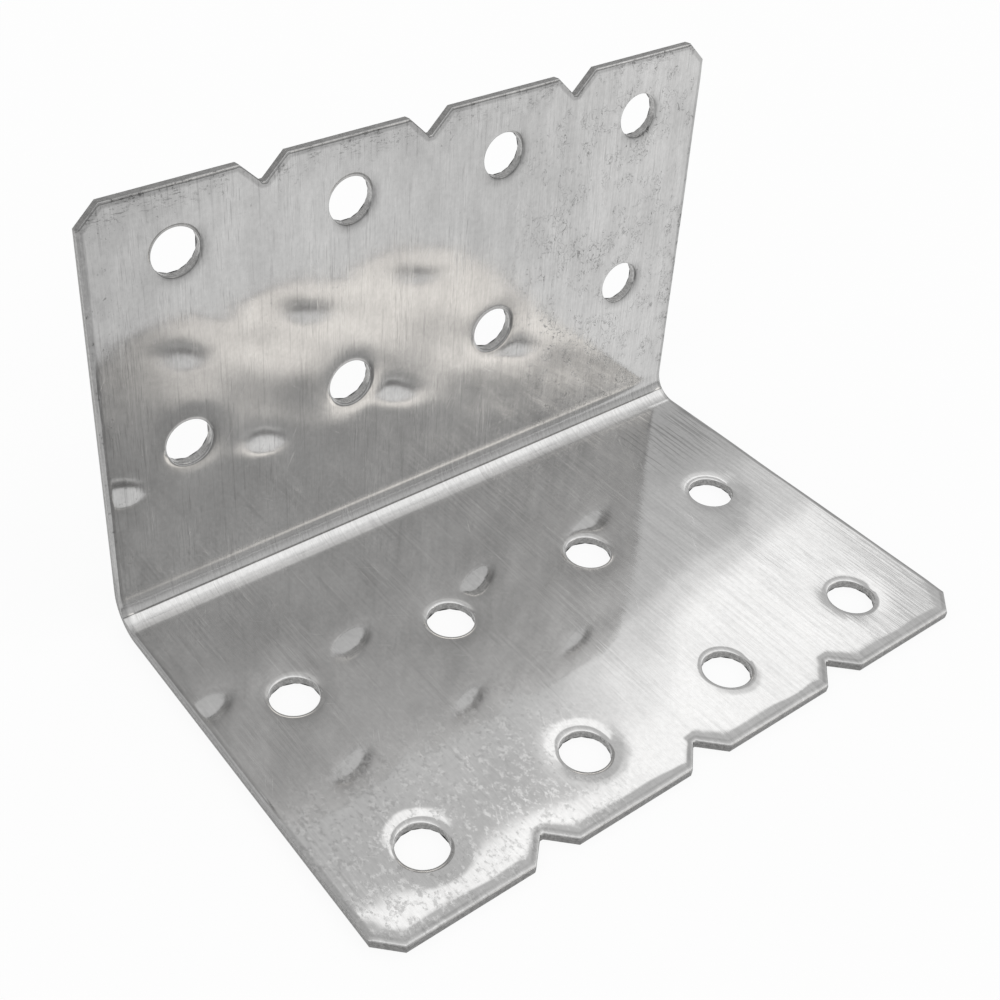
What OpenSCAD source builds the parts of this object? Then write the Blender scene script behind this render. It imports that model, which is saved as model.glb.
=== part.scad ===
// Corner brace bracket: one steel sheet, punched flat and then folded once to a right angle.
// X runs along the fold, the base leg lies on Z = 0 and points to -Y, the upright leg rises along +Z.

/* [Sheet] */
// Thickness of the sheet
sheet_t = 1.2; // [0.8:0.1:2]
// Radius on the inside of the fold
bend_r = 2.9; // [1.5:0.1:5]

/* [Legs] */
// Height of the upright leg, from the underside of the base to its top edge
upright_h = 51.2; // [48:0.1:90]
// Length of the base leg, from the back of the upright to its front edge
base_l = 51.8; // [48:0.1:90]

/* [Hole pattern] */
// Distance between neighbouring holes, and between neighbouring notches, along the fold
pitch = 20; // [12:0.5:40]
// Holes in each row
columns = 4; // [1:1:8]
// Rows of holes on each leg
rows = 2; // [1:1:2]
// Sheet lost at each end where the perforated strip is cropped to length
end_trim = 0.3; // [0:0.05:1]
// Diameter of the screw holes
hole_d = 5.3; // [3:0.1:8]
// Distance from the outside of the fold to the row of holes nearest to it
first_row = 21.2; // [10:0.1:22]
// Distance between the two rows of holes on a leg
row_gap = 22.7; // [10:0.1:23]

/* [Edge notches] */
// Width of a notch at its mouth
notch_w = 5.4; // [3:0.1:8]
// Depth of a notch, from the edge to its tip
notch_depth = 2.7; // [1:0.1:5]

/* [Punching marks] */
// How far the metal that the punch drew down reaches in from each cut
roll_w = 0.35; // [0.2:0.05:0.4]
// How far that metal has sunk where it meets the wall of the cut
roll_sink = 0.12; // [0.05:0.01:0.2]
// Depth of the torn part of a hole, at the outside of the sheet
tear_depth = 0.3; // [0.1:0.05:0.5]
// How much the hole's radius grows over the torn part
tear_w = 0.08; // [0.02:0.01:0.2]

/* [Fold mark] */
// Radius of the groove that the folding blade left in the middle of the fold
crease_r = 0.12; // [0.05:0.01:0.3]
// How far that groove stops short of each end of the fold
crease_end = 0.8; // [0.5:0.1:5]

/* [Hidden] */
$fn = 96;
// Overshoot of every cutter past the face that it cuts
over = 1;
strip_l = pitch * columns;
width = strip_l - 2 * end_trim;
half_notch = notch_w / 2;
// The strip is cropped just short of a notch's tip, which leaves half a notch at each corner
corner_depth = notch_depth * (1 - end_trim / half_notch);
fold_out = bend_r + sheet_t;
back_y = base_l / 2;
// Radius at which a hole's drawn-down mouth leaves the sheet's face smoothly
roll_r = (pow(roll_w, 2) + pow(roll_sink, 2)) / (2 * roll_sink);
tear_slope = tear_w / tear_depth;

// Place of notch number i along the fold
function notch_x(i) = (i - columns / 2) * pitch;

// Place of hole column number i along the fold
function column_x(i) = notch_x(i + 0.5);

// One notch in a leg's free edge, as three points from left to right
function notch_path(i, leg_l) = [
    [notch_x(i) - half_notch, leg_l],
    [notch_x(i), leg_l - notch_depth],
    [notch_x(i) + half_notch, leg_l]
];

// The straight stretch of the free edge between notch i and the next one
function edge_path(i, leg_l) = [[notch_x(i) + half_notch, leg_l], [notch_x(i + 1) - half_notch, leg_l]];

// A leg's left side, from the fold up to the cropped corner, and its right side back down
function left_path(leg_l) = [[-width / 2, fold_out], [-width / 2, leg_l - corner_depth], edge_path(0, leg_l)[0]];
function right_path(leg_l) = [for (p = [2, 1, 0]) [-left_path(leg_l)[p].x, left_path(leg_l)[p].y]];

// What is drawn down at a hole's mouth, in section: all above a circle, with the metal on the right.
// The section starts in the bore, at the given distance from its wall.
module mouth_profile(into_bore) {
    difference() {
        translate([-into_bore, -roll_sink])
            square([into_bore + roll_w, roll_sink + over]);
        translate([roll_w, -roll_r])
            circle(roll_r);
    }
}

// What is drawn down along a straight cut, in section: all above a slope, with the metal on the right
module slope_profile() {
    polygon([[-roll_w, -2 * roll_sink], [2 * roll_w, roll_sink], [-roll_w, roll_sink]]);
}

// Draws down the metal along each stretch of a path, which has the metal on its right hand side
module rolled_path(path, past) {
    for (i = [0:1:len(path) - 2]) {
        along = path[i + 1] - path[i];
        translate([path[i].x, path[i].y, sheet_t])
            rotate([0, 0, atan2(along.y, along.x)])
                translate([-past, 0, 0])
                    rotate([90, 0, 90])
                        mirror([1, 0, 0])
                            linear_extrude(norm(along) + 2 * past)
                                slope_profile();
    }
}

// Draws down the mouth of a hole of the given radius
module rolled_mouth(radius) {
    translate([0, 0, sheet_t])
        rotate_extrude()
            translate([radius, 0])
                mouth_profile(radius / 2);
}

// One punched hole: a true cylinder, drawn down at its mouth and torn open at the back
module hole() {
    translate([0, 0, -over])
        cylinder(h = sheet_t + 2 * over, d = hole_d);
    translate([0, 0, -over])
        cylinder(h = tear_depth + over, r1 = hole_d / 2 + tear_slope * (tear_depth + over), r2 = hole_d / 2);
    rolled_mouth(hole_d / 2);
}

// A leg laid flat: outer face on Z = 0, with Y measured from the outside of the fold
module leg(leg_l) {
    difference() {
        linear_extrude(sheet_t)
            polygon(concat(
                left_path(leg_l),
                [for (i = [1:1:columns - 1]) each notch_path(i, leg_l)],
                right_path(leg_l)
            ));
        for (column = [0:1:columns - 1], row = [0:1:rows - 1])
            translate([column_x(column), first_row + row * row_gap, 0])
                hole();
        rolled_path(left_path(leg_l), roll_w);
        rolled_path(right_path(leg_l), roll_w);
        for (i = [0:1:columns - 1])
            rolled_path(edge_path(i, leg_l), roll_w);
        for (i = [1:1:columns - 1])
            rolled_path(notch_path(i, leg_l), 0);
    }
}

// Metal drawn down at one end of the fold, in the plane of the fold's profile
module rolled_corner() {
    translate([bend_r, -width / 2])
        rotate([0, 0, 90])
            slope_profile();
}

// The sheet across its width, as it goes round the fold: X is the distance from the fold's axis
module fold_profile() {
    difference() {
        translate([bend_r, -width / 2])
            square([sheet_t, width]);
        rolled_corner();
        mirror([0, 1, 0])
            rolled_corner();
    }
}

// The quarter turn between the legs, with the folding blade's groove along its middle
module fold() {
    difference() {
        rotate([0, 90, 0])
            rotate_extrude(angle = 90)
                fold_profile();
        rotate([-45, 0, 0])
            translate([0, bend_r, 0])
                rotate([0, 90, 0])
                    cylinder(h = width - 2 * crease_end, r = crease_r, center = true);
    }
}

// The whole bracket: base leg, upright leg and the fold that joins them
module bracket() {
    color("gainsboro")
        translate([0, back_y, 0]) {
            mirror([0, 1, 0])
                leg(base_l);
            rotate([90, 0, 0])
                leg(upright_h);
            translate([0, -fold_out, fold_out])
                fold();
        }
}

bracket();
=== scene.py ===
"""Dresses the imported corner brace: a fine mesh of the punched and folded sheet, and its steel.

The sheet is built flat, in millimetres, as (u, s): u runs along the fold, and s across it, from the
middle of the fold up the upright leg (s > 0) or out along the base leg (s < 0). On either leg, y is the
distance from the outside of the fold.
"""

import math

import bpy
import numpy as np
from mathutils import Matrix, Vector
from mathutils.geometry import delaunay_2d_cdt


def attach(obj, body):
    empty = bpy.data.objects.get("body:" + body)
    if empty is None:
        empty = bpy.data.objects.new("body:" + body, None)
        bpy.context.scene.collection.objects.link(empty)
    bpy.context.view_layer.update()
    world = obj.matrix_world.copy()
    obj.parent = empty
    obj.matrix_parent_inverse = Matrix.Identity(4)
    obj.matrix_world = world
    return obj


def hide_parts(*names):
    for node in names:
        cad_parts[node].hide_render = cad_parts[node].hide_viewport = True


MM = 0.001
MICROMETRE = 0.000001

# The sheet, as the source of the part has it
SHEET_T = 1.2
BEND_R = 2.9
UPRIGHT_H = 51.2
BASE_L = 51.8
PITCH = 20.0
COLUMNS = 4
END_TRIM = 0.3
HOLE_R = 2.65
ROWS = (21.2, 43.9)
NOTCH_HALF = 2.7
NOTCH_DEPTH = 2.7
CORNER_DEPTH = 2.4
TEAR_W = 0.08
CREASE_END = 0.8

# What is softer than in the source: the blunt tips of the notches, the edges that the punch drew down, the
# groove of the folding blade, and the edges of the outer face
NOTCH_TIP = 0.2
ROLL_W = 0.7
ROLL_SINK = 0.19
CREASE_DEPTH = 0.07
CREASE_W = 0.07
OUTER_EDGE_W = 0.12
OUTER_EDGE_SINK = 0.04

# How the fold is sharper in its middle than a round one: depth and reach, the share of the depth that is
# left at the fold's ends, and the distance from them at which it is whole
KINK_DEPTH = 0.16
KINK_W = 0.75
KINK_END_SHARE = 0.3
KINK_FADE = 3.0

FOLD_OUT = BEND_R + SHEET_T
BACK_Y = BASE_L / 2
HALF_FOLD = math.radians(45) * (BEND_R + SHEET_T / 2)
HALF_W = PITCH * COLUMNS / 2 - END_TRIM
UPRIGHT, BASE = 1, -1
LEG_L = {UPRIGHT: UPRIGHT_H, BASE: BASE_L}

# The shallow dish that the punch leaves round a hole, beyond the sharp roll at its mouth: its depth in each
# row, in the order of hole_centres(), and its reach
DISH_DEPTHS = (0.035, 0.035, 0.04, 0.065)
DISH_W = 1.1

# How the sheet droops towards its free edges: depth and reach, and how far from the free edge it sets in,
# over what length
DROOP_DEPTH = 0.075
DROOP_W = 0.9
DROOP_FROM = 5.0
DROOP_RISE = 2.0

# Slow waves in the legs: their lengths, the steepest slope of each, and how far past the fold they are whole
WAVE_SEED = 5
WAVE_LENGTHS = (11.0, 15.0, 21.0, 30.0)
WAVE_SLOPE = 0.004
WAVE_FADE = 8.0

# Walls of the cuts, level by level from the mouth down: share of the mouth's height, how far the metal has
# receded, and how ragged it is. Where it is fully ragged, it moves by about RAGGED_IN into the metal and
# RAGGED_HEIGHT up and down, smoothed over RAGGED_REACH neighbours on each side.
WALL_SEED = 11
WALL_LEVELS = (
    (0.86, 0.0, 0.1),
    (0.72, 0.004, 0.3),
    (0.6, 0.01, 0.8),
    (0.5, 0.022, 1.0),
    (0.38, 0.035, 0.8),
    (0.27, 0.045, 0.5),
    (0.16, 0.055, 0.3),
)
RAGGED_IN = 0.005
RAGGED_HEIGHT = 0.025
RAGGED_REACH = 2

# How finely the cuts and the faces are meshed
HOLE_STEPS = 84
EDGE_STEP = 0.36
FOLD_STEP = 0.2
OUTER_FOLD_STEP = 0.4
FOLD_COLUMNS = 84
INNER_GRID = 0.8
OUTER_GRID = 1.6
GRID_ROW_SHARE = 0.87
# How far the loose points stay from each cut, the rows along the fold from its ends, the first row of the
# grid from the fold, in steps, and how many steps the rows along the fold go past it
GRID_CLEAR = 1.5
FOLD_CLEAR = 1.5
OUTER_FOLD_CLEAR = 1.4
GRID_START = 1.2
FOLD_ROWS_PAST = 2.5
# Rings round each cut: on the inner face at these turns round the drawn-down edge, in degrees, with one
# beyond it, and on the outer face at these distances
ROLL_TURNS = (0, 15, 30, 45, 60, 75, 90)
INNER_RING = 1.15
OUTER_RINGS = (TEAR_W, TEAR_W + 0.02, TEAR_W + 0.06, TEAR_W + 0.12, 0.6)
# Finer rows on both sides of the folding blade's groove
CREASE_ROWS = (0.04, 0.08, 0.12, 0.17, 0.25)
# How near two places or lengths are to count as the same, and two points of the mesh to become one
TOLERANCE = 0.01
MERGE_WITHIN = 1e-6
# Way across the flat sheet that is down and to the right as the bracket stands
LOWER_RIGHT = (math.sqrt(0.5), -math.sqrt(0.5))

# Edges sharper than this, in degrees, are shaded as edges
SHARP_ANGLE = 50
# Length of the flat sheet that the texture square covers
STRIP_SPAN = 120

# Colours of the rolled faces, of the sheared outline and of the holes' walls
SHEET_COLOR = (0.605, 0.602, 0.597)
SHEARED_COLOR = (0.225, 0.223, 0.22)
PUNCHED_COLOR = (0.3, 0.298, 0.294)
BRUSHED = 0.75

# Noises that the marks on the sheet follow: scale along u, across and through the sheet, detail, roughness
LINES = ((2.8, 0.07, 1.0), 3.0, 0.7)
FINE_LINES = ((8.0, 0.3, 1.0), 2.0, 0.6)
CLOUD = ((0.11, 0.09, 0.1), 2.0, 0.55)
PATCH = ((0.35, 0.1, 0.3), 2.0, 0.6)
CLUMP = ((0.5, 0.4, 0.4), 2.0, 0.6)
GRAIN = ((2.2, 1.6, 1.0), 3.0, 0.7)

# What each kind of mark adds at its strongest to the tone, where 1 is plain steel, and to the roughness
MARK_TONES = {
    "left side": -0.12,
    "streaks": -0.35,
    "spots": -0.27,
    "crawl": -0.38,
    "scuffs": 0.12,
    "worn": -0.06,
    # Painted shade: the dark line where the edge starts to turn down
    "rim": -0.28,
    # Painted shade round the lower right side of each hole on the upright
    "hole shade": -0.4,
    # Painted shade in the groove of the folding blade
    "crease shade": -0.35,
    "fold lines": -0.13,
}
FLAKED_ROUGHNESS = 0.11
SPOT_ROUGHNESS = 0.2
SCUFF_ROUGHNESS = 0.12
# Relief in micrometres: the drawing lines on the left and on the right, and the crooked marks
LINE_RELIEF = (4.0, 9.0)
CRAWL_RELIEF = -6.0
WALL_STREAK_RELIEF = 10.0
WALL_LUMP_RELIEF = 50.0

# Camera, solved together with the sizes from the photograph, in millimetres and for a frame 1000 wide
CAMERA_AT = (-84.877, -89.476, 115.613)
CAMERA_RIGHT = (0.7988, -0.59993, 0.04473)
CAMERA_DOWN = (-0.30362, -0.46623, -0.83093)
CAMERA_LENS = 53.552
CAMERA_SENSOR = 36.0
CAMERA_SHIFT = (0.0327, -0.140)
CAMERA_NEAR = 0.01

# Light of the room, of the soft light beyond the bracket, of the ceiling and of the warmer light behind
# the camera
ROOM_COLOR = (1.0, 1.0, 1.0)
SOFTBOX_COLOR = (0.74, 0.74, 0.74)
CEILING_COLOR = (0.27, 0.27, 0.27)
WINDOW_COLOR = (1.5, 1.43, 1.34)
# Where each of them shines: a measure of the direction, as directions() has them, and the ramp on it, from
# where it is dark to where it is bright. Two more numbers are the levels at these two places.
ROOM_LIMITS = (
    ("across", -0.98, -0.6, 0.71, 1.12),
    ("across", -0.1, 0.42, 1.0, 0.67),
    ("across", 0.8, 0.95, 1.0, 0.82),
    ("up", 0.02, 0.24, 0.6, 1.0),
)
SOFTBOX_LIMITS = (("across", 0.46, 0.52), ("along", 0.3, 0.4), ("oblique", 0.86, 0.755))
CEILING_LIMITS = (("across", -0.8, -0.6), ("across", -0.02, -0.16))
WINDOW_LIMITS = (("tilted", 0.6, 0.558), ("up", 0.37, 0.46), ("side", 0.34, 0.56), ("side", 1.6, 1.25))
# Slopes of the soft light's far edge and of its right end, and of the warm light's upper edge
FAR_SLOPE = 0.33
END_SLOPE = 0.4
WINDOW_SLOPE = 0.03
# Least height, or reach to the front, that a direction's place is worked out with
LEAST_DIVISOR = 0.02

# The floor, in metres: its reach and its level, just below the base
FLOOR_REACH = 30.0
FLOOR_LEVEL = -0.0001
FLOOR_COLOR = (0.9, 0.9, 0.9, 1)
# Share of plain white in what the camera sees of the floor; the rest keeps the bracket's shadow
FLOOR_WHITE = 0.9


def s_of(leg, y):
    """Place across the sheet of a point on a leg, y from the outside of the fold."""
    return leg * (y - FOLD_OUT + HALF_FOLD)


def hole_centres():
    """(u, s) of each screw hole, row by row, first on the upright and then on the base."""
    columns = [(i + 0.5 - COLUMNS / 2) * PITCH for i in range(COLUMNS)]
    return [(u, s_of(leg, y)) for leg in (UPRIGHT, BASE) for y in ROWS for u in columns]


def free_edge(leg):
    """Corners of a leg's free edge, notches included, from low u to high u."""
    end = LEG_L[leg]
    tip = end - NOTCH_DEPTH + NOTCH_TIP
    corners = [(-HALF_W, end - CORNER_DEPTH), (-HALF_W + CORNER_DEPTH, end)]
    for i in range(1, COLUMNS):
        u = (i - COLUMNS / 2) * PITCH
        corners += [(u - NOTCH_HALF, end), (u - NOTCH_TIP, tip), (u + NOTCH_TIP, tip), (u + NOTCH_HALF, end)]
    corners += [(HALF_W - CORNER_DEPTH, end), (HALF_W, end - CORNER_DEPTH)]
    return [(u, s_of(leg, y)) for u, y in corners]


def outline():
    """Corners of the flat sheet, anticlockwise, with one more pair where each leg meets the fold."""
    return np.array(
        free_edge(BASE)
        + [(HALF_W, -HALF_FOLD), (HALF_W, HALF_FOLD)]
        + free_edge(UPRIGHT)[::-1]
        + [(-HALF_W, HALF_FOLD), (-HALF_W, -HALF_FOLD)]
    )


def inset(corners, distance):
    """The outline moved into the metal by a distance."""
    ahead = np.roll(corners, -1, 0) - corners
    ahead /= np.linalg.norm(ahead, axis=1)[:, None]
    inwards = np.stack([-ahead[:, 1], ahead[:, 0]], 1)
    before = np.roll(inwards, 1, 0)
    miter = inwards + before
    return corners + distance * miter / (1 + (inwards * before).sum(1))[:, None]


def is_fold_end(start, length):
    """Whether the side of the outline with this start and length is an end of the fold."""
    return abs(start[1]) < HALF_FOLD + TOLERANCE and length < 2 * HALF_FOLD + TOLERANCE


def outline_ring(distance):
    """Points along the outline, moved into the metal by a distance. Rings at any distance match up."""
    corners = outline()
    moved = inset(corners, distance)
    ring = []
    for i, start in enumerate(moved):
        end = moved[(i + 1) % len(moved)]
        length = np.linalg.norm(corners[(i + 1) % len(corners)] - corners[i])
        step = FOLD_STEP if is_fold_end(corners[i], length) else EDGE_STEP
        steps = max(1, round(length / step))
        ring += [start + (end - start) * k / steps for k in range(steps)]
    return np.array(ring)


def hole_ring(centre, distance):
    """Points round a hole, clockwise so that the metal is on their left, at a distance from its wall."""
    turn = -2 * math.pi * np.arange(HOLE_STEPS) / HOLE_STEPS
    return np.array(centre) + (HOLE_R + distance) * np.stack([np.cos(turn), np.sin(turn)], 1)


def rings(distance):
    """Every cut of the sheet as a closed ring of points at a distance into the metal, the outline first."""
    return [outline_ring(distance)] + [hole_ring(centre, distance) for centre in hole_centres()]


def ring_normals(ring):
    """Directions into the metal at each point of a ring that has the metal on its left."""
    along = np.roll(ring, -1, 0) - np.roll(ring, 1, 0)
    along /= np.linalg.norm(along, axis=1)[:, None]
    return np.stack([-along[:, 1], along[:, 0]], 1)


def hole_distance(flat):
    """Distance from each flat point to the nearest hole's wall."""
    return np.min([np.linalg.norm(flat - centre, axis=1) - HOLE_R for centre in hole_centres()], axis=0)


def hole_side(flat):
    """How far each flat point lies on the lower right side of its nearest hole, -1 to 1."""
    offsets = flat[:, None] - np.array(hole_centres())[None]
    lengths = np.linalg.norm(offsets, axis=2)
    nearest = np.argmin(lengths, axis=1)
    each = np.arange(len(flat))
    return (offsets[each, nearest] @ LOWER_RIGHT) / lengths[each, nearest]


def outline_distance(flat):
    """Distance from each flat point to the outline."""
    corners = outline()
    nearest = np.full(len(flat), np.inf)
    for i, a in enumerate(corners):
        along = corners[(i + 1) % len(corners)] - a
        share = ((flat - a) @ along / (along @ along)).clip(0, 1)
        nearest = np.minimum(nearest, np.linalg.norm(flat - a - share[:, None] * along, axis=1))
    return nearest


def cut_distance(flat):
    """Distance from each flat point to the nearest cut."""
    return np.minimum(hole_distance(flat), outline_distance(flat))


def in_metal(flat):
    """Whether each flat point lies in the metal."""
    corners = outline()
    inside = np.zeros(len(flat), bool)
    for i, (au, a_s) in enumerate(corners):
        bu, b_s = corners[(i + 1) % len(corners)]
        if a_s == b_s:
            continue
        crosses = (flat[:, 1] < a_s) != (flat[:, 1] < b_s)
        inside ^= crosses & (flat[:, 0] < au + (flat[:, 1] - a_s) * (bu - au) / (b_s - a_s))
    for centre in hole_centres():
        inside &= np.linalg.norm(flat - centre, axis=1) > HOLE_R
    return inside


def waves(flat):
    """Slow waves in a leg's face, which die out towards the fold."""
    chance = np.random.default_rng(WAVE_SEED)
    rise = np.zeros(len(flat))
    for length in WAVE_LENGTHS:
        turn, phase = chance.uniform(0, math.pi), chance.uniform(0, 2 * math.pi)
        along = flat @ np.array([math.cos(turn), math.sin(turn)])
        rise += WAVE_SLOPE * length / (2 * math.pi) * np.sin(2 * math.pi * along / length + phase)
    return rise * ((np.abs(flat[:, 1]) - HALF_FOLD) / WAVE_FADE).clip(0, 1)


def roll_width(flat):
    """How far in the metal was drawn down, which varies a little along the cuts."""
    u, s = flat.T
    share = 0.8 + 0.1 * np.sin(u / 2.3 + np.sin(s / 4.1)) + 0.1 * np.sin(s / 1.7 + np.cos(u / 5.3))
    return ROLL_W * share


def roll(distance, width, depth):
    """How far a face has sunk at a distance from the cut: a quarter of an ellipse."""
    share = (1 - distance / width).clip(0, 1)
    return depth * (1 - np.sqrt(1 - share**2))


def dishes(flat):
    """How far the inner face has sunk round the holes."""
    sunk = np.zeros(len(flat))
    for centre, depth in zip(hole_centres(), np.repeat(DISH_DEPTHS, COLUMNS)):
        away = np.linalg.norm(flat - centre, axis=1) - HOLE_R
        sunk += depth * np.exp(-((away / DISH_W) ** 2))
    return sunk


def fold_marks(flat):
    """How far the inner face has sunk along the middle of the fold: the blade's groove and the kink."""
    from_end = HALF_W - np.abs(flat[:, 0])
    across = np.abs(flat[:, 1])
    fade = ((from_end - CREASE_END) / CREASE_END).clip(0, 1)
    groove = CREASE_DEPTH * fade * np.exp(-((across / CREASE_W) ** 2))
    share = KINK_END_SHARE + (1 - KINK_END_SHARE) * (from_end / KINK_FADE).clip(0, 1)
    return groove + KINK_DEPTH * share * np.exp(-across / KINK_W)


def droop(flat):
    """How far the inner face has sunk near the free edges, over a width that varies along them."""
    u, s = flat.T
    y = np.abs(s) - HALF_FOLD + FOLD_OUT
    near_end = ((y - np.where(s > 0, UPRIGHT_H, BASE_L) + DROOP_FROM) / DROOP_RISE).clip(0, 1)
    width = DROOP_W * (1 + 0.2 * np.sin(u / 3.1) + 0.15 * np.sin(u / 1.3 + 1))
    return DROOP_DEPTH * near_end * np.exp(-((outline_distance(flat) / width) ** 2))


def inner_height(flat):
    """Height of the inner face above the outer one."""
    sunk = roll(cut_distance(flat), roll_width(flat), ROLL_SINK)
    return SHEET_T - sunk - dishes(flat) - fold_marks(flat) - droop(flat) + waves(flat)


def outer_height(flat):
    """Height of the outer face: flat, with a soft edge at each cut."""
    return roll(cut_distance(flat) - TEAR_W, OUTER_EDGE_W, OUTER_EDGE_SINK)


def folded(flat, height):
    """Points of the sheet after folding, in metres in the part's frame."""
    u, s = flat.T
    leg_y = np.abs(s) - HALF_FOLD + FOLD_OUT
    turn = ((s + HALF_FOLD) / (2 * HALF_FOLD)).clip(0, 1) * math.pi / 2
    bent_y = -FOLD_OUT + (FOLD_OUT - height) * np.sin(turn)
    bent_z = FOLD_OUT - (FOLD_OUT - height) * np.cos(turn)
    y = np.where(s < -HALF_FOLD, -leg_y, np.where(s > HALF_FOLD, -height, bent_y))
    z = np.where(s < -HALF_FOLD, height, np.where(s > HALF_FOLD, leg_y, bent_z))
    return np.stack([u, y + BACK_Y, z], 1) * MM


def grid(step):
    """Staggered points over the legs, clear of every cut and of the fold."""
    points = []
    for leg in (UPRIGHT, BASE):
        rows = np.arange(FOLD_OUT + step * GRID_START, LEG_L[leg], step * GRID_ROW_SHARE)
        for k, y in enumerate(rows):
            columns = np.arange(-HALF_W + (k % 2) * step / 2, HALF_W, step)
            points += [(u, s_of(leg, y)) for u in columns]
    points = np.array(points)
    return points[in_metal(points) & (cut_distance(points) > GRID_CLEAR)]


def fold_rows(step, clear, fine=()):
    """Straight rows of points along the fold, with the fine ones next to its middle."""
    coarse = np.arange(0, HALF_FOLD + FOLD_ROWS_PAST * step, step)[1:] + (fine[-1] if fine else 0)
    one_side = sorted({round(s, 4) for s in [*coarse, *fine]})
    across = [-s for s in reversed(one_side)] + [0.0] + one_side
    columns = np.linspace(-HALF_W + clear, HALF_W - clear, FOLD_COLUMNS)
    return [np.stack([columns, np.full(len(columns), s)], 1) for s in across]


def meshed(closed_lines, open_lines, loose):
    """Triangles over the sheet, with edges along the lines.

    Returns flat points, triangles, and the number of the flat point that each given point became.
    """
    points, edges = [], []
    for closed, lines in ((True, closed_lines), (False, open_lines)):
        for line in lines:
            start = len(points)
            points += [tuple(p) for p in line]
            edges += [(start + k, start + k + 1) for k in range(len(line) - 1)]
            if closed:
                edges.append((start + len(line) - 1, start))
    points += [tuple(p) for p in loose]
    made = delaunay_2d_cdt([Vector(p) for p in points], edges, [], 0, MERGE_WITHIN)
    made_points, _, made_faces, given_numbers = made[:4]
    flat = np.array([tuple(p) for p in made_points])
    triangles = np.array(made_faces)
    triangles = triangles[in_metal(flat[triangles].mean(1))]
    place = {old: new for new, olds in enumerate(given_numbers) for old in olds}
    return flat, triangles, place


def inner_face():
    """The face that the punch entered, which is the inside of the folded bracket."""
    distances = list(ROLL_W * (1 - np.cos(np.radians(ROLL_TURNS)))) + [INNER_RING]
    closed_lines = [ring for distance in distances for ring in rings(distance)]
    return meshed(closed_lines, fold_rows(FOLD_STEP, FOLD_CLEAR, CREASE_ROWS), grid(INNER_GRID))


def outer_face():
    """The face that the punch left, which is the outside of the folded bracket."""
    closed_lines = [ring for distance in OUTER_RINGS for ring in rings(distance)]
    return meshed(closed_lines, fold_rows(OUTER_FOLD_STEP, OUTER_FOLD_CLEAR), grid(OUTER_GRID))


def uneven(chance, count):
    """Seeded unevenness round a closed ring, smoothed over neighbouring points."""
    raw = chance.uniform(-1, 1, count)
    rolled = sum(np.roll(raw, k) for k in range(-RAGGED_REACH, RAGGED_REACH + 1))
    return rolled / math.sqrt(2 * RAGGED_REACH + 1)


def wall(ring, chance, first):
    """Flat points, heights and numbers, from first on, of each level of a cut's wall."""
    count = len(ring)
    into_metal = ring_normals(ring)
    flats, heights, levels = [], [], []
    for share, receded, ragged in WALL_LEVELS:
        wobble = ragged * RAGGED_IN * (1 + uneven(chance, count).clip(-1, 1))
        flats.append(ring + into_metal * (receded + wobble)[:, None])
        heights.append((SHEET_T - ROLL_SINK) * share + ragged * RAGGED_HEIGHT * uneven(chance, count))
        levels.append(np.arange(count) + first + count * len(levels))
    return flats, heights, levels


def quads(above, below):
    """Faces between two matching rings, facing out of the metal."""
    after_above, after_below = np.roll(above, -1), np.roll(below, -1)
    return list(zip(above.tolist(), below.tolist(), after_below.tolist(), after_above.tolist()))


def build_sheet():
    """The whole bracket as one closed mesh.

    Returns flat points, heights, faces, and the first faces of the outline's wall and of the holes' walls.
    """
    inner_flat, inner_triangles, inner_place = inner_face()
    outer_flat, outer_triangles, outer_place = outer_face()
    flats = [inner_flat, outer_flat]
    heights = [inner_height(inner_flat), outer_height(outer_flat)]
    faces = inner_triangles.tolist() + (outer_triangles[:, ::-1] + len(inner_flat)).tolist()

    chance = np.random.default_rng(WALL_SEED)
    wall_starts = []
    given = 0
    made = len(inner_flat) + len(outer_flat)
    for ring in rings(0.0):
        wall_starts.append(len(faces))
        count = len(ring)
        mouth = np.array([inner_place[given + k] for k in range(count)])
        foot = np.array([outer_place[given + k] for k in range(count)]) + len(inner_flat)
        wall_flats, wall_heights, levels = wall(ring, chance, made)
        flats += wall_flats
        heights += wall_heights
        levels = [mouth, *levels, foot]
        for above, below in zip(levels, levels[1:]):
            faces += quads(above, below)
        made += count * len(WALL_LEVELS)
        given += count
    return np.concatenate(flats), np.concatenate(heights), faces, wall_starts[0], wall_starts[1]


def keep_vectors(mesh, name, values):
    """Keeps three numbers for each vertex, for the materials to read."""
    kept = mesh.attributes.new(name, "FLOAT_VECTOR", "POINT")
    kept.data.foreach_set("vector", values.astype(np.float32).ravel())


def keep_texture_place(mesh, flat):
    """Keeps the flat coordinates as texture ones too, which give the drawing lines their direction."""
    strip = mesh.uv_layers.new(name="strip")
    corners = np.zeros(len(mesh.loops), np.int32)
    mesh.loops.foreach_get("vertex_index", corners)
    strip.data.foreach_set("uv", (flat[corners] / STRIP_SPAN + 0.5).astype(np.float32).ravel())


def bracket_object(sheet, sheared, punched):
    """The bracket's mesh object, with its three materials and the coordinates that they read."""
    flat, height, faces, sheared_from, punched_from = build_sheet()
    mesh = bpy.data.meshes.new("bracket_sheet")
    mesh.from_pydata(folded(flat, height).tolist(), [], faces)
    for material in (sheet, sheared, punched):
        mesh.materials.append(material)
    slots = np.zeros(len(mesh.polygons), np.int32)
    slots[sheared_from:] = 1
    slots[punched_from:] = 2
    mesh.polygons.foreach_set("material_index", slots)
    keep_vectors(mesh, "flat", np.column_stack([flat, height]))
    near = (outline_distance(flat), hole_distance(flat), hole_side(flat))
    keep_vectors(mesh, "near", np.column_stack(near))
    keep_texture_place(mesh, flat)
    mesh.polygons.foreach_set("use_smooth", np.ones(len(mesh.polygons), bool))
    mesh.set_sharp_from_angle(angle=math.radians(SHARP_ANGLE))
    mesh.update()
    piece = bpy.data.objects.new("bracket_sheet", mesh)
    bpy.context.scene.collection.objects.link(piece)
    return piece


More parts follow.
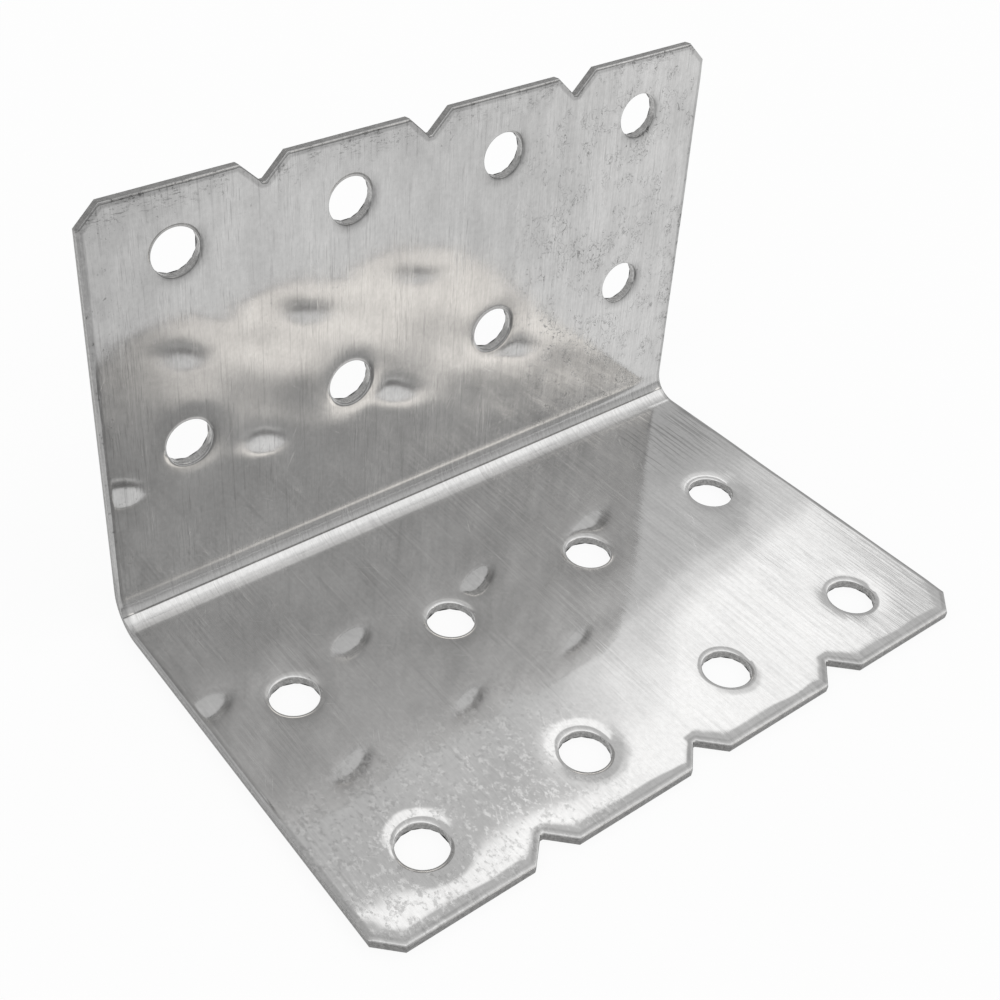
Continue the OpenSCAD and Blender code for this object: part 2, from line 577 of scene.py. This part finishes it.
class Graph:
    """Nodes of one material or of the world, written as short calls."""

    def __init__(self, tree):
        self.tree = tree
        tree.nodes.clear()

    def node(self, kind, inputs=(), **settings):
        """A new node, with its settings and its inputs."""
        made = self.tree.nodes.new(kind)
        for name, value in settings.items():
            setattr(made, name, value)
        for name, value in dict(inputs).items():
            self.put(made.inputs[name], value)
        return made

    def put(self, socket, value):
        """Links an input to another node's output, or sets it to a plain value."""
        if isinstance(value, bpy.types.NodeSocket):
            self.tree.links.new(value, socket)
        else:
            socket.default_value = value

    def math(self, operation, a, b=0.0, clamp=False):
        """One step of arithmetic."""
        return self.node("ShaderNodeMath", {0: a, 1: b}, operation=operation, use_clamp=clamp).outputs[0]

    def product(self, *factors):
        """All the factors multiplied."""
        value = factors[0]
        for factor in factors[1:]:
            value = self.math("MULTIPLY", value, factor)
        return value

    def total(self, *terms):
        """All the terms added up."""
        value = terms[0]
        for term in terms[1:]:
            value = self.math("ADD", value, term)
        return value

    def ramp(self, value, low, high, to_low=0.0, to_high=1.0):
        """Value carried smoothly from low..high to to_low..to_high."""
        inputs = {"Value": value, "From Min": low, "From Max": high, "To Min": to_low, "To Max": to_high}
        made = self.node("ShaderNodeMapRange", inputs, interpolation_type="SMOOTHSTEP", clamp=True)
        return made.outputs[0]

    def scaled(self, vector, scale):
        """A vector times another, number by number."""
        return self.node("ShaderNodeVectorMath", {0: vector, 1: scale}, operation="MULTIPLY").outputs[0]

    def split(self, vector):
        """The three numbers of a vector."""
        parts = self.node("ShaderNodeSeparateXYZ", {0: vector}).outputs
        return parts["X"], parts["Y"], parts["Z"]

    def kept(self, name):
        """The three numbers that the mesh keeps under a name, as a vector."""
        return self.node("ShaderNodeAttribute", attribute_name=name).outputs["Vector"]

    def noise(self, vector, scale, detail, rough, twist=0.0):
        """Smooth noise around 0.5."""
        inputs = {
            "Vector": self.scaled(vector, scale), "Scale": 1.0, "Detail": detail,
            "Roughness": rough, "Distortion": twist,
        }
        return self.node("ShaderNodeTexNoise", inputs).outputs["Fac"]

    def toned(self, color, tone):
        """A colour times a grey tone, mixed from black. Inputs 6 and 7 and output 2 are the mix's colours."""
        inputs = {0: tone, 6: (0, 0, 0, 1), 7: (*color, 1)}
        return self.node("ShaderNodeMix", inputs, data_type="RGBA", clamp_factor=False).outputs[2]

    def steel(self, color, rough, height, **more):
        """A metal whose relief is a height in micrometres, as the material's surface."""
        bump = self.node("ShaderNodeBump", {"Height": height, "Distance": MICROMETRE, "Strength": 1.0})
        inputs = {"Base Color": color, "Metallic": 1.0, "Roughness": rough, "Normal": bump.outputs[0], **more}
        shader = self.node("ShaderNodeBsdfPrincipled", inputs)
        self.node("ShaderNodeOutputMaterial", {"Surface": shader.outputs[0]})


class SheetGraph(Graph):
    """The rolled faces' material, with the places, noises and marks that its tone, gloss and relief share.

    Each mark is a mask, from 0 where it is absent to 1 where it is strongest. The limits on u, s and the
    distances are in millimetres.
    """

    def __init__(self, tree):
        super().__init__(tree)
        self.at = self.kept("flat")
        self.u, self.s, _ = self.split(self.at)
        self.to_outline, self.to_hole, self.hole_side = self.split(self.kept("near"))
        self.from_fold = self.math("ABSOLUTE", self.s)

        self.lines = self.noise(self.at, *LINES)
        self.fine_lines = self.noise(self.at, *FINE_LINES)
        self.cloud = self.noise(self.at, *CLOUD)
        self.patch = self.noise(self.at, *PATCH)
        self.clump = self.noise(self.at, *CLUMP)
        self.grain = self.noise(self.at, *GRAIN)

        self.upright = self.ramp(self.s, 1.5, 3.5)
        self.high = self.ramp(self.s, 14.0, 34.0)
        self.rubbed = self.ramp(self.from_fold, 3.5, 2.6)
        self.drawn = self.drawn_mask()
        self.worn = self.worn_mask()
        self.flaked = self.flaked_mask()
        self.spots = self.spots_mask()
        self.crawl = self.crawl_mask()
        self.scuffs = self.scuffs_mask()

    def blots(self, scale, low, high):
        """Small ragged blots, where a rough noise is high."""
        return self.ramp(self.noise(self.at, scale, detail=3.0, rough=0.75), low, high)

    def worms(self, scale, width):
        """Short crooked marks, where a twisted noise passes its middle value."""
        wave = self.noise(self.at, scale, detail=2.0, rough=0.6, twist=1.2)
        return self.ramp(self.math("ABSOLUTE", self.math("SUBTRACT", wave, 0.5)), width, width * 0.3)

    def scratches(self, angle, scale, high):
        """Thin straight scratches at an angle from the drawing lines."""
        inputs = {"Vector": self.at, "Angle": angle}
        turned = self.node("ShaderNodeVectorRotate", inputs, rotation_type="Z_AXIS").outputs[0]
        return self.ramp(self.noise(turned, scale, detail=1.0, rough=0.4), high, high + 0.05)

    def drawn_mask(self):
        """Where the drawing lines are deep: patches, and all of the right side."""
        patches = self.ramp(self.patch, 0.46, 0.66, 0.08, 1.0)
        return self.total(patches, self.ramp(self.u, -8.0, 25.0, 0.0, 0.7))

    def worn_mask(self):
        """Where the coating is worn: near the upright's free edge and its sides."""
        border = self.product(self.upright, self.ramp(self.to_outline, 7.0, 1.0))
        top = self.product(self.high, 0.35)
        return self.product(self.math("MAXIMUM", border, top), self.ramp(self.clump, 0.42, 0.62))

    def flaked_mask(self):
        """Dull, ragged patches where the coating has flaked near the base's free edge, on the left."""
        ragged = self.blots((1.3, 0.8, 0.3), 0.5, 0.56)
        return self.product(self.ramp(self.s, -27.0, -36.0), self.ramp(self.u, -4.0, -16.0), ragged)

    def spots_mask(self):
        """Specks where the coating is worn, and dashes along the upright's free edge."""
        specks = self.product(self.ramp(self.grain, 0.59, 0.66), self.worn)
        near_edge = self.product(self.ramp(self.s, 46.6, 48.6), self.ramp(self.clump, 0.4, 0.55))
        dashes = self.product(self.blots((1.4, 4.5, 1.0), 0.54, 0.64), near_edge)
        return self.math("MAXIMUM", specks, dashes)

    def crawl_mask(self):
        """Crooked marks on the right of the upright."""
        on_right = self.product(self.upright, self.ramp(self.u, 8.0, 20.0), self.ramp(self.clump, 0.48, 0.56))
        return self.product(self.worms((1.1, 0.8, 1.0), 0.02), on_right)

    def scuffs_mask(self):
        """Scratches in four directions, each where a slower noise lets them through."""
        return self.total(
            self.product(self.scratches(0.0, (7.0, 0.3, 1.0), 0.68), self.ramp(self.patch, 0.5, 0.65)),
            self.product(self.scratches(0.5, (5.0, 0.2, 1.0), 0.72), self.ramp(self.cloud, 0.5, 0.6)),
            self.product(self.scratches(-0.9, (5.0, 0.25, 1.0), 0.74), self.ramp(self.cloud, 0.52, 0.45)),
            self.product(self.scratches(0.22, (6.0, 0.12, 1.0), 0.74), self.ramp(self.clump, 0.45, 0.6)),
        )

    def streaks_mask(self):
        """Dark, deep lines at the back of the base, on the right."""
        in_place = self.product(self.ramp(self.u, 20.0, 29.0), self.ramp(self.s, -20.0, -10.0))
        return self.product(in_place, self.ramp(self.s, -2.5, -6.0), self.ramp(self.lines, 0.5, 0.6))

    def rim_shade_mask(self):
        """The painted shade along the outline: a dark line where the sheet starts to turn down."""
        grainy = self.ramp(self.grain, 0.35, 0.6, 0.5, 1.0)
        return self.product(self.ramp(self.to_outline, 0.75, 0.45), grainy)

    def hole_shade_mask(self):
        """Painted shade on the upright round the lower right side of each hole, where the drawn-down edges
        would mirror a darker part of the room.
        """
        round_hole = self.total(
            self.ramp(self.to_hole, 1.4, 0.2, 0.0, 0.6),
            self.ramp(self.to_hole, 0.5, 0.15, 0.0, 0.5),
        )
        return self.product(self.upright, round_hole, self.ramp(self.hole_side, -0.4, 0.6))

    def marks(self):
        """The marks that darken or lighten the steel, and the painted shade along the edges, round the holes
        and in the fold's groove, by the names that MARK_TONES has.
        """
        return {
            "left side": self.product(self.ramp(self.u, -27.0, -39.0), self.ramp(self.s, 6.0, 22.0)),
            "streaks": self.streaks_mask(),
            "spots": self.spots,
            "crawl": self.crawl,
            "scuffs": self.scuffs,
            "worn": self.worn,
            # Painted shade along the edge
            "rim": self.rim_shade_mask(),
            # Painted shade round the holes
            "hole shade": self.hole_shade_mask(),
            # Painted shade in the groove of the folding blade
            "crease shade": self.ramp(self.from_fold, 0.09, 0.04),
            "fold lines": self.product(self.rubbed, self.ramp(self.fine_lines, 0.5, 0.64)),
        }

    def line_tone(self):
        """What the drawing lines add to the tone, over the whole sheet and on the upright."""
        deep = self.math("MINIMUM", self.drawn, 1.0)
        dark = self.ramp(self.lines, 0.56, 0.66, 0.0, -0.12)
        dark_fine = self.ramp(self.fine_lines, 0.54, 0.66, 0.0, -0.2)
        patchy = self.ramp(self.patch, 0.45, 0.6)
        return self.total(
            self.product(deep, self.ramp(self.lines, 0.36, 0.64, -0.09, 0.05)),
            self.product(self.upright, self.total(dark, self.product(dark_fine, patchy))),
            self.ramp(self.fine_lines, 0.35, 0.65, -0.03, 0.02),
        )

    def tone(self):
        """How light the steel is, where 1 is plain."""
        marks = self.marks()
        return self.total(
            self.ramp(self.cloud, 0.3, 0.7, 0.96, 1.04),
            self.ramp(self.grain, 0.3, 0.7, -0.045, 0.04),
            self.product(self.high, self.ramp(self.u, 12.0, 28.0, -0.1, 0.0)),
            self.product(self.upright, self.ramp(self.patch, 0.38, 0.62, -0.05, 0.05)),
            self.product(self.flaked, self.ramp(self.grain, 0.4, 0.6, -0.14, 0.14)),
            self.line_tone(),
            *[self.product(marks[name], amount) for name, amount in MARK_TONES.items()],
        )

    def roughness(self):
        """How rough the steel is: polished on the base, duller on the upright, the fold and the marks."""
        to_right = self.ramp(self.u, -22.0, 10.0, 0.0, 0.03)
        to_top = self.ramp(self.s, 8.0, 22.0, 0.0, 0.025)
        return self.total(
            self.ramp(self.cloud, 0.35, 0.68, 0.045, 0.07),
            self.product(self.upright, self.total(to_right, to_top)),
            self.product(self.drawn, self.ramp(self.lines, 0.45, 0.75, 0.0, 0.06)),
            self.product(self.rubbed, self.ramp(self.s, -1.0, 1.0, 0.13, 0.16)),
            self.product(self.flaked, FLAKED_ROUGHNESS),
            self.product(self.math("MAXIMUM", self.spots, self.crawl), SPOT_ROUGHNESS),
            self.product(self.scuffs, SCUFF_ROUGHNESS),
        )

    def relief(self):
        """Height of the drawing lines and the crooked marks, in micrometres."""
        lines = self.product(self.lines, self.drawn, self.ramp(self.u, 0.0, 25.0, *LINE_RELIEF))
        return self.total(lines, self.product(self.crawl, CRAWL_RELIEF))


def new_material(name):
    """An empty material that has nodes."""
    material = bpy.data.materials.new(name)
    material.use_nodes = True
    return material


def sheet_material():
    """Rolled, zinc-coated steel: drawing lines across the fold, cloudy gloss, spots and scratches."""
    material = new_material("zinc_sheet")
    g = SheetGraph(material.node_tree)
    tangent = g.node("ShaderNodeTangent", direction_type="UV_MAP", uv_map="strip").outputs[0]
    color = g.toned(SHEET_COLOR, g.tone())
    g.steel(color, g.roughness(), g.relief(), Anisotropic=BRUSHED, Tangent=tangent)
    return material


def cut_material(name, color):
    """Punched or sheared walls: burnished near the mouth, torn and dull below, with painted light that makes
    the walls on the upright lighter.
    """
    material = new_material(name)
    g = Graph(material.node_tree)
    at = g.kept("flat")
    _, across, depth = g.split(at)
    streaks = g.noise(at, (7.0, 7.0, 1.0), detail=3.0, rough=0.6)
    lumps = g.noise(at, (3.0, 3.0, 3.0), detail=4.0, rough=0.65)
    torn = g.ramp(g.total(depth, g.ramp(lumps, 0.3, 0.7, -0.12, 0.12)), 0.72, 0.52)
    rough = g.total(g.ramp(torn, 0, 1, 0.22, 0.42), g.ramp(streaks, 0.3, 0.7, -0.05, 0.08))
    tone = g.total(
        g.ramp(torn, 0, 1, 0.95, 1.0),
        # Painted light: the walls on the upright, its top edge among them, are painted lighter, as the top
        # edge catches the ceiling's light
        g.ramp(across, 3.0, 8.0, 0.0, 0.5),
        g.ramp(streaks, 0.3, 0.7, -0.12, 0.1),
        g.ramp(lumps, 0.35, 0.65, -0.2, 0.2),
    )
    relief = g.total(g.product(streaks, WALL_STREAK_RELIEF), g.product(lumps, torn, WALL_LUMP_RELIEF))
    g.steel(g.toned(color, tone), rough, relief)
    return material


def directions(g):
    """Measures of the direction in which the world is seen, by name.

    up is its height, along and across are its place on a ceiling one unit above, and side is its place on a
    wall one unit in front of the bracket. The last three are slanted mixes of these.
    """
    x, y, z = g.split(g.node("ShaderNodeTexCoord").outputs["Generated"])
    upwards = g.math("MAXIMUM", z, LEAST_DIVISOR)
    along = g.math("DIVIDE", x, upwards)
    across = g.math("DIVIDE", y, upwards)
    to_front = g.math("MAXIMUM", g.product(y, -1.0), LEAST_DIVISOR)
    side = g.math("DIVIDE", x, to_front)
    return {
        "up": z,
        "along": along,
        "across": across,
        "side": side,
        "slanted": g.math("SUBTRACT", across, g.product(along, FAR_SLOPE)),
        "oblique": g.math("SUBTRACT", along, g.product(across, END_SLOPE)),
        "tilted": g.total(z, g.product(side, WINDOW_SLOPE)),
    }


def lobe(g, ways, limits):
    """How bright a light is in each direction: all its ramps multiplied."""
    return g.product(*[g.ramp(ways[way], *ends) for way, *ends in limits])


def softbox_edge(g, ways):
    """The soft light's far edge, which has two steps, and is slanted but for its left end."""
    steps = g.total(
        g.ramp(ways["slanted"], 0.475, 0.44, 0.0, 0.42),
        g.ramp(ways["slanted"], 0.43, 0.385, 0.0, 0.58),
    )
    slanted = g.product(steps, g.ramp(ways["along"], 0.6, 0.68))
    return g.math("MAXIMUM", slanted, g.ramp(ways["across"], 0.62, 0.59))


def studio():
    """The world: a pale room with a slanted soft light beyond the bracket, a ceiling light, and a warm one
    behind the camera."""
    world = bpy.data.worlds.new("studio")
    world.use_nodes = True
    bpy.context.scene.world = world
    g = Graph(world.node_tree)
    ways = directions(g)
    lights = (
        (lobe(g, ways, ROOM_LIMITS), ROOM_COLOR),
        (g.product(softbox_edge(g, ways), lobe(g, ways, SOFTBOX_LIMITS)), SOFTBOX_COLOR),
        (lobe(g, ways, CEILING_LIMITS), CEILING_COLOR),
        (lobe(g, ways, WINDOW_LIMITS), WINDOW_COLOR),
    )
    sky = (0.0, 0.0, 0.0)
    for share, color in lights:
        grey = g.node("ShaderNodeCombineXYZ", {0: share, 1: share, 2: share}).outputs[0]
        sky = g.node("ShaderNodeVectorMath", {0: sky, 1: g.scaled(color, grey)}, operation="ADD").outputs[0]
    back = g.node("ShaderNodeBackground", {"Color": sky, "Strength": 1.0})
    g.node("ShaderNodeOutputWorld", {"Surface": back.outputs[0]})


def floor_material():
    """White to the camera and in reflections, but for a share that keeps the bracket's shadow."""
    material = new_material("floor")
    g = Graph(material.node_tree)
    path = g.node("ShaderNodeLightPath").outputs
    seen = g.math("ADD", path["Is Camera Ray"], path["Is Glossy Ray"])
    seen = g.math("ADD", seen, path["Is Transmission Ray"], clamp=True)
    plain = g.node("ShaderNodeBsdfDiffuse", {"Color": FLOOR_COLOR})
    white = g.node("ShaderNodeEmission", {"Color": (1, 1, 1, 1), "Strength": 1.0})
    share = g.product(seen, FLOOR_WHITE)
    both = g.node("ShaderNodeMixShader", {0: share, 1: plain.outputs[0], 2: white.outputs[0]})
    g.node("ShaderNodeOutputMaterial", {"Surface": both.outputs[0]})
    return material


def floor():
    """A plain white floor."""
    mesh = bpy.data.meshes.new("floor")
    signs = ((-1, -1), (1, -1), (1, 1), (-1, 1))
    corners = [(x * FLOOR_REACH, y * FLOOR_REACH, FLOOR_LEVEL) for x, y in signs]
    mesh.from_pydata(corners, [], [(0, 1, 2, 3)])
    mesh.materials.append(floor_material())
    made = bpy.data.objects.new("floor", mesh)
    bpy.context.scene.collection.objects.link(made)


def camera():
    """The photograph's camera."""
    data = bpy.data.cameras.new("camera")
    data.lens = CAMERA_LENS
    data.sensor_width = CAMERA_SENSOR
    data.shift_x, data.shift_y = CAMERA_SHIFT
    data.clip_start = CAMERA_NEAR
    made = bpy.data.objects.new("camera", data)
    right, down = Vector(CAMERA_RIGHT).normalized(), Vector(CAMERA_DOWN).normalized()
    forward = right.cross(down).normalized()
    down = forward.cross(right)
    turn = Matrix((right, -down, -forward)).transposed()
    made.matrix_world = Matrix.Translation(Vector(CAMERA_AT) * MM) @ turn.to_4x4()
    bpy.context.scene.collection.objects.link(made)
    bpy.context.scene.camera = made


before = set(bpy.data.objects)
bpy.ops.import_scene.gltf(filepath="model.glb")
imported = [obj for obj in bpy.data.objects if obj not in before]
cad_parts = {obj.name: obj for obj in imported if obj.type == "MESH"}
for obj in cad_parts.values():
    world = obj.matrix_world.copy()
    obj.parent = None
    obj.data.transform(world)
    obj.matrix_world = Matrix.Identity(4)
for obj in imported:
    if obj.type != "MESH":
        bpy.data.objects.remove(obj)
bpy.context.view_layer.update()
bracket = bracket_object(
    sheet_material(),
    cut_material("sheared_edge", SHEARED_COLOR),
    cut_material("punched_wall", PUNCHED_COLOR),
)
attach(bracket, "root")
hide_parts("bracket")
studio()
floor()
camera()
bpy.context.scene.view_settings.view_transform = "Standard"
